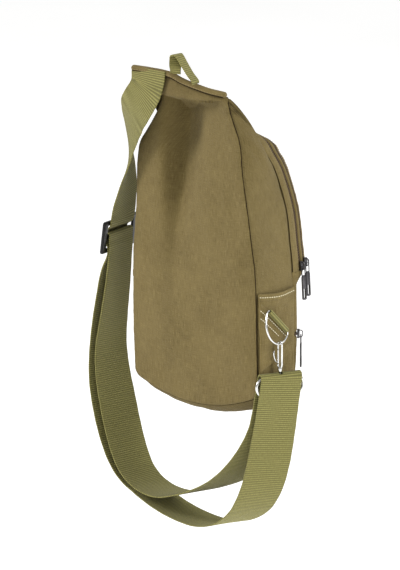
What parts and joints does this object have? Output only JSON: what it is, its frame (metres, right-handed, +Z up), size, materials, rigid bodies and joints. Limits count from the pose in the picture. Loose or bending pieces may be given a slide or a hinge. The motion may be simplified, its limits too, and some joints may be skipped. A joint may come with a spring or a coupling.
{
  "type": "crossbody bag",
  "caption": "Soft canvas crossbody bag with zipped front compartments, side pockets, a small hanging loop and a long webbing strap with a slider and a metal clip.",
  "frame": {"origin": "inside of the top of the small hanging loop, where the bag hangs", "axes": "+Z up through the hanging loop, +X towards the side with the clip, +Y towards the front with the zips"},
  "size_m": [0.2615, 0.115, 0.5197],
  "materials": {
    "canvas": "matte",
    "webbing": "matte",
    "zip_tape": "matte",
    "steel": "polished",
    "gunmetal": "satin",
    "plastic": "gloss"
  },
  "bodies": {
    "bag": {"back_panel": "canvas", "gusset": "canvas", "zip_band": "canvas", "main_zip": "zip_tape", "middle_strip": "canvas", "front_zip": "zip_tape", "front_panel": "canvas", "pocket_top": "canvas", "pocket_zip": "zip_tape", "pocket_front": "canvas", "side_pocket_right": "canvas", "side_pocket_left": "canvas", "side_tab": "canvas", "d_ring": "steel", "d_ring_sleeve": "webbing", "hook_eye": "steel", "strap_slider": "plastic", "strap": "webbing", "top_binding": "canvas", "hang_loop": "webbing", "slider_main": "gunmetal", "slider_front": "gunmetal", "slider_pocket": "gunmetal"},
    "hook": {"hook_body": "steel"},
    "gate": {"hook_gate": "steel"},
    "main_pull": {"pull_main": "gunmetal"},
    "front_pull": {"pull_front": "gunmetal"},
    "pocket_pull": {"pull_pocket": "gunmetal"}
  },
  "joints": [
    {"name": "hook_swivel", "type": "hinge", "parent": "bag", "child": "hook", "pos_m": [0.11774, 0.03647, -0.30538], "axis": [0, 0, 1], "range_deg": [-20, 20]},
    {"name": "gate_hinge", "type": "hinge", "parent": "hook", "child": "gate", "pos_m": [0.11499, 0.03647, -0.32768], "axis": [0, 1, 0], "range_deg": [0, 6], "stiffness_Nm_per_rad": 0.002},
    {"name": "main_pull_hinge", "type": "hinge", "parent": "bag", "child": "main_pull", "pos_m": [0.10307, 0.08831, -0.23098], "axis": [0.1023, -0.9946, 0.02], "range_deg": [0, 100]},
    {"name": "front_pull_hinge", "type": "hinge", "parent": "bag", "child": "front_pull", "pos_m": [0.10207, 0.09566, -0.22785], "axis": [0.1023, -0.9946, 0.02], "range_deg": [0, 100]},
    {"name": "pocket_pull_hinge", "type": "hinge", "parent": "bag", "child": "pocket_pull", "pos_m": [0.10536, 0.08252, -0.30417], "axis": [0.598, -0.8015, 0], "range_deg": [0, 100]}
  ]
}
